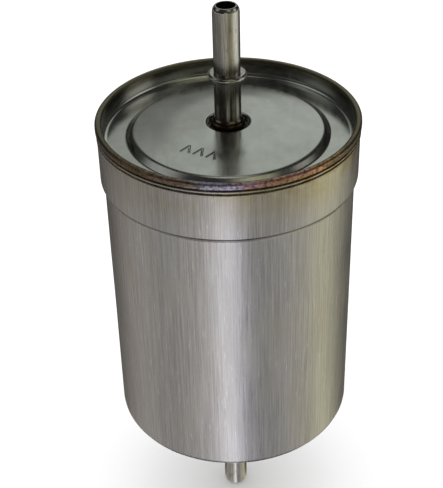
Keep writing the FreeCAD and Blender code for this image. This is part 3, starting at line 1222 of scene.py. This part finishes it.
@dataclass
class InnerParts:
    """Pieces sealed in the can, which keep their CAD shape."""

    def finishes(self) -> dict[str, Finish]:
        """Finish of each inner CAD node.

        Returns:
            The finishes by node name.
        """
        disc = TinnedSteel("tinned_pressed_steel", Slot.DISC)
        resin = Moulded(
            "cast_plastisol", Slot.POTTING, "#6b2f1c", "#8a4328", 0.5, (2.0, 2.0, 2.0), 0.03,
            subsurface=0.1)
        return {
            "upper_end_disc": disc,
            "lower_end_disc": disc,
            "media_seam_clip": disc,
            "inlet_baffle": disc,
            "centre_tube": TinnedSteel("perforated_tinned_steel", Slot.CORE, "#85898c", "#a5a9ab"),
            "element_spring": TinnedSteel("drawn_spring_steel", Slot.SPRING, "#55575a", "#808386", 0.3),
            "upper_potting": resin,
            "lower_potting": resin,
            "filter_media": Moulded(
                "creped_filter_paper", Slot.MEDIA, "#b08d4c", "#d3b67c", 0.85, (1.2, 1.2, 0.35), 0.04,
                ior=1.45, subsurface=0.05),
            "pleat_spacing_bands": Moulded(
                "wound_glass_thread", Slot.BANDS, "#c9c5b8", "#ebe8dd", 0.75, (0.6, 0.6, 0.2), 0.05),
            "outlet_seal_ring": Moulded("moulded_nitrile_rubber", Slot.SEAL),
        }

    def dress(self) -> None:
        """Give each inner CAD node its finish."""
        made: dict[str, bpy.types.Material] = {}
        for node, finish in self.finishes().items():
            if finish.name not in made:
                made[finish.name] = finish.material()
            for slot in frame["nodes"][node].material_slots:
                slot.material = made[finish.name]
            log.info("%s: %s", node, finish.name)


# Studio


@dataclass(frozen=True)
class View:
    """The main camera: where it stands and how it is turned."""

    focal_length: float = 86.2      # on a 36 mm sensor
    back: float = 309.5
    above_rim: float = 166.7
    tilt: float = math.radians(34.615)
    pan: float = math.radians(-0.559)
    roll: float = math.radians(-1.585)

    def build(self, rim_z: float) -> None:
        """Place the camera.

        Args:
            rim_z: height of the rim, in millimetres.
        """
        data = bpy.data.cameras.new("main_camera")
        data.lens = self.focal_length
        data.clip_start = 0.01
        camera = add_object("main_camera", data)
        turn = Matrix.Rotation(-self.pan, 4, "Z") @ Matrix.Rotation(math.pi / 2 - self.tilt, 4, "X")
        place = Vector((0, -self.back, rim_z + self.above_rim)) * MM
        camera.matrix_world = Matrix.Translation(place) @ turn @ Matrix.Rotation(self.roll, 4, "Z")
        bpy.context.scene.camera = camera


@dataclass(frozen=True)
class SoftLight:
    """One soft area light that shines straight down and doesn't show in the steel."""

    name: str
    height: float
    width: float
    power: float

    def build(self) -> None:
        """Place the light, in metres."""
        data = bpy.data.lights.new(self.name, "AREA")
        data.size = self.width
        data.energy = self.power
        light = add_object(self.name, data)
        light.location.z = self.height
        light.visible_camera = False
        light.visible_glossy = False


@dataclass(frozen=True)
class Window:
    """One bright patch of the room, as the polished lid mirrors it; angles in degrees."""

    azimuth: float                  # 0 is behind the object, 90 on its right
    elevation: float
    inner: float                    # full brightness within this angle
    outer: float                    # faded out at this angle
    colour: str

    def direction(self) -> tuple[float, float, float]:
        """Unit vector from the object towards the window.

        Returns:
            Its X, Y and Z.
        """
        azimuth, elevation = math.radians(self.azimuth), math.radians(self.elevation)
        level = math.cos(elevation)
        return level * math.sin(azimuth), level * math.cos(azimuth), math.sin(elevation)


def staged_plate(name: str, size: float, height: float, material: bpy.types.Material) -> bpy.types.Object:
    """Lay a square plate of the studio, level and centred on the object.

    Args:
        name: name of the plate.
        size: length of its sides, in metres.
        height: its height, in metres.
        material: its material.

    Returns:
        The plate, linked to the scene and marked as staging.
    """
    mesh = bpy.data.meshes.new(name)
    half = size / 2
    corners = [(-half, -half, 0), (half, -half, 0), (half, half, 0), (-half, half, 0)]
    mesh.from_pydata(corners, [], [(0, 1, 2, 3)])
    mesh.materials.append(material)
    plate = add_object(name, mesh)
    plate.location.z = height
    plate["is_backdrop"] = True
    return plate


@dataclass(frozen=True)
class ReflectorFan:
    """Glowing round card just over the floor that only reflections see.

    The upright steel walls mirror it. Its brightness round the object becomes the bright
    and dark bands up the walls, and its dark ring draws the line under the can's edge.
    """

    size: float = 3.2
    strength: float = 1.85
    height: float = 0.001
    twist: float = 0.03             # turns the near bands, so that the wall mirrors them upright
    twist_from: float = 0.05        # the twist no longer grows nearer than this
    far_from: float = 0.26          # the bands change over to the far ones from here
    far_to: float = 0.31

    def bands(self) -> list[tuple[float, str]]:
        """Brightness by azimuth in degrees: 0 is the front, and the right is positive."""
        return [
            (-180, "#c8c8c8"), (-172, "#c8c8c8"), (-166, "#3c3a38"), (-152, "#403e3c"), (-134, "#585552"),
            (-106, "#8a8682"), (-88, "#93918d"), (-66, "#848381"), (-50, "#8e8d8c"), (-31, "#9c9b9a"),
            (-21, "#b0aeae"), (-13, "#d0cfd2"), (-6, "#efeef4"), (-1, "#f8f7ff"), (4, "#d2d2de"),
            (11, "#94939a"), (20, "#7c7c7e"), (35, "#868686"), (50, "#989795"), (69, "#9a9890"),
            (82, "#aeac9a"), (94, "#b8b69e"), (112, "#8e8d7e"), (126, "#5e5c54"), (138, "#4a4844"),
            (150, "#32302e"), (166, "#32302e"), (172, "#c8c8c8"),
        ]

    def rings(self) -> list[tuple[float, str]]:
        """Brightness by distance from the axis, in metres."""
        return [
            (0.0, "#ffffff"), (0.021, "#ffffff"), (0.025, "#8a8a8a"), (0.034, "#6a6a6a"),
            (0.038, "#101010"), (0.046, "#101010"), (0.053, "#ffffff"),
        ]

    def far_bands(self) -> list[tuple[float, str]]:
        """Brightness by azimuth far out, which the upper nipple mirrors."""
        return [
            (-180, "#262626"), (-137, "#505050"), (-60, "#6a6a68"), (-20, "#8e8c88"), (0, "#929088"),
            (22, "#7a7662"), (36, "#6e6a54"), (58, "#a0a098"), (76, "#d2d2ca"), (104, "#d0d0c8"),
            (126, "#5c5c58"), (150, "#2a2a2a"),
        ]

    def build(self, floor_z: float) -> None:
        """Lay the fan over the floor.

        Args:
            floor_z: height of the floor, in metres.
        """
        material = bpy.data.materials.new("reflector_glow")
        tree = empty_tree(material)
        front = add_node(tree, "Math", {0: coordinate(tree, "Y"), 1: -1.0}, operation="MULTIPLY")
        azimuth = add_node(tree, "Math", {0: coordinate(tree, "X"), 1: front}, operation="ARCTAN2")
        distance = axis_distance(tree)
        half = add_node(tree, "Math", {0: azimuth, 1: 0.5}, operation="MULTIPLY")
        lean = add_node(tree, "Math", {0: half}, operation="SINE")
        lean = add_node(tree, "Math", {0: lean, 1: self.twist}, operation="MULTIPLY")
        far_enough = add_node(tree, "Math", {0: distance, 1: self.twist_from}, operation="MAXIMUM")
        lean = add_node(tree, "Math", {0: lean, 1: far_enough}, operation="DIVIDE")
        azimuth = add_node(tree, "Math", {0: azimuth, 1: lean}, operation="ADD")
        turn = add_node(tree, "MapRange", {"Value": azimuth, **steps(-math.pi, math.pi)})
        near, far = (
            add_node(tree, "ValToRGB", {0: turn}, stops=[
                (0.5 + degrees / 360, colour) for degrees, colour in colours])
            for colours in (self.bands(), self.far_bands()))
        beyond = add_node(tree, "MapRange", {"Value": distance, **steps(self.far_from, self.far_to)})
        bands = add_node(tree, "Mix", {0: beyond, 6: near, 7: far}, data_type="RGBA")
        rings = add_node(tree, "ValToRGB", {0: distance}, stops=self.rings())
        glow = add_node(tree, "Mix", {0: 1.0, 6: bands, 7: rings}, data_type="RGBA", blend_type="MULTIPLY")
        light = add_node(tree, "Emission", {"Color": glow, "Strength": self.strength})
        add_node(tree, "OutputMaterial", {"Surface": light})
        fan = staged_plate("reflector_fan", self.size, floor_z + self.height, material)
        fan.visible_camera = False
        fan.visible_diffuse = False
        fan.visible_shadow = False


@dataclass(frozen=True)
class Studio:
    """Plain pale floor, soft light from above, and a room for the steel to mirror."""

    floor_z: float
    floor_size: float = 12.0
    floor_colour: str = "#f6f6f6"
    air_colour: str = "#f2f2f2"
    room_colour: str = "#2a2927"
    windows: tuple[Window, ...] = (
        Window(11.0, 27.0, 9.0, 19.0, "#c9cec8"),
        Window(2.0, 45.0, 10.0, 23.0, "#c4c9c3"),
        Window(-5.0, 25.0, 10.0, 27.0, "#82837f"),
        Window(-84.0, 42.0, 8.0, 23.0, "#b4b6b3"),
        Window(95.0, 12.0, 8.0, 20.0, "#9c9c92"),
        Window(0.0, 86.0, 6.0, 16.0, "#d0ccca"),
        Window(180.0, 18.0, 7.0, 17.0, "#c8c4b8"),
        Window(88.0, 25.0, 8.0, 20.0, "#dcdad2"),
        Window(128.0, 18.0, 6.0, 20.0, "#8c8c84"),
        Window(140.0, 57.0, 8.0, 22.0, "#b9ba9c"),
    )

    def build(self) -> None:
        """Build the floor, the room, the light and the reflector."""
        material = bpy.data.materials.new("matt_white_paper")
        tree = empty_tree(material)
        paper = add_node(tree, "BsdfDiffuse", {"Color": linear(self.floor_colour)})
        add_node(tree, "OutputMaterial", {"Surface": paper})
        staged_plate("studio_floor", self.floor_size, self.floor_z, material)
        self.build_room()
        bpy.context.scene.view_settings.view_transform = "Standard"
        SoftLight("top_soft_box", height=1.4, width=3.0, power=24.0).build()
        ReflectorFan().build(self.floor_z)

    def build_room(self) -> None:
        """Even pale air for matt surfaces, and a dark room with windows for mirrors."""
        world = bpy.data.worlds.new("studio_air")
        tree = empty_tree(world)
        way = add_node(tree, "TexCoord", output="Generated")
        room = linear(self.room_colour)
        for window in self.windows:
            towards = add_node(tree, "VectorMath", {
                0: way, 1: window.direction()}, operation="DOT_PRODUCT", output="Value")
            faded = steps(math.cos(math.radians(window.outer)), math.cos(math.radians(window.inner)))
            bright = add_node(
                tree, "MapRange", {"Value": towards, **faded}, interpolation_type="SMOOTHSTEP")
            room = add_node(tree, "Mix", {
                0: bright, 6: room, 7: linear(window.colour)}, data_type="RGBA", blend_type="LIGHTEN")
        mirrored = add_node(tree, "LightPath", output="Is Glossy Ray")
        seen = add_node(tree, "Mix", {0: mirrored, 6: linear(self.air_colour), 7: room}, data_type="RGBA")
        back = add_node(tree, "Background", {"Color": seen})
        add_node(tree, "OutputWorld", {"Surface": back})
        bpy.context.scene.world = world


def build_object() -> float:
    """Build every visible piece and dress the inner ones.

    Returns:
        The height of the rim, in millimetres.
    """
    rim_z = high_z("rim_weld")
    tube_radius = mount_size("outlet_tube", "r_mm")
    panel = Panel(tube_radius=tube_radius)
    can = Can(
        body_radius=mount_size("body_band", "r_mm"), rim_radius=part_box("rim_weld")[1].x / MM,
        rim_z=rim_z, ring_z=low_z("housing_can") + panel.rise + panel.crown, panel=panel)
    strip = BrushedStainless(
        "brushed_stainless", Slot.CAN, rim_z=rim_z, step_top=rim_z - can.mouth_depth)
    finish_piece(can.build(), "housing_can", strip)
    weld = HeatTintedWeld("heat_tinted_weld", Slot.WELD, can.rim_radius)
    finish_piece(can.build_weld(), "rim_weld", weld)
    cover = Cover(
        rim_z=rim_z, ring_z=low_z("end_cover") + can.sheet,
        wall_radius=can.mouth_radius - 2 * can.sheet, panel=panel)
    sheet = PressedStainless(
        "pressed_stainless", Slot.COVER, wall_radius=cover.wall_radius, rim_z=rim_z)
    finish_piece(cover.build(), "end_cover", sheet)
    for node, way in (("outlet", 1), ("inlet", -1)):
        near, far = (low_z, high_z)[::way]
        nipple = Nipple(
            name=node, tip_z=way * far(node + "_nipple"), seat_z=way * near(node + "_braze_ring"),
            end_z=way * near(node + "_nipple"), way=way, tube_radius=tube_radius,
            bore_radius=mount_size("outlet_bore", "r_mm"), bead_radius=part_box("outlet_nipple")[1].x / MM)
        drawn = DrawnTube(node + "_drawn_stainless_tube", Slot.TUBE, seat_z=way * nipple.seat_z)
        finish_piece(nipple.build_tube(), node + "_nipple", drawn)
        finish_piece(nipple.build_braze(), node + "_braze_ring", CopperBraze("copper_braze", Slot.BRAZE))
    InnerParts().dress()
    return rim_z


def main() -> None:
    """Build the object, the studio and the camera."""
    logging.basicConfig(level=logging.INFO, format="%(name)s %(message)s")
    cad_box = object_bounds()
    floor_gap = 0.5 * MM
    Studio(floor_z=cad_box[0][2] - floor_gap).build()
    rim_z = build_object()
    View().build(rim_z)


if __name__ == "__main__":
    main()
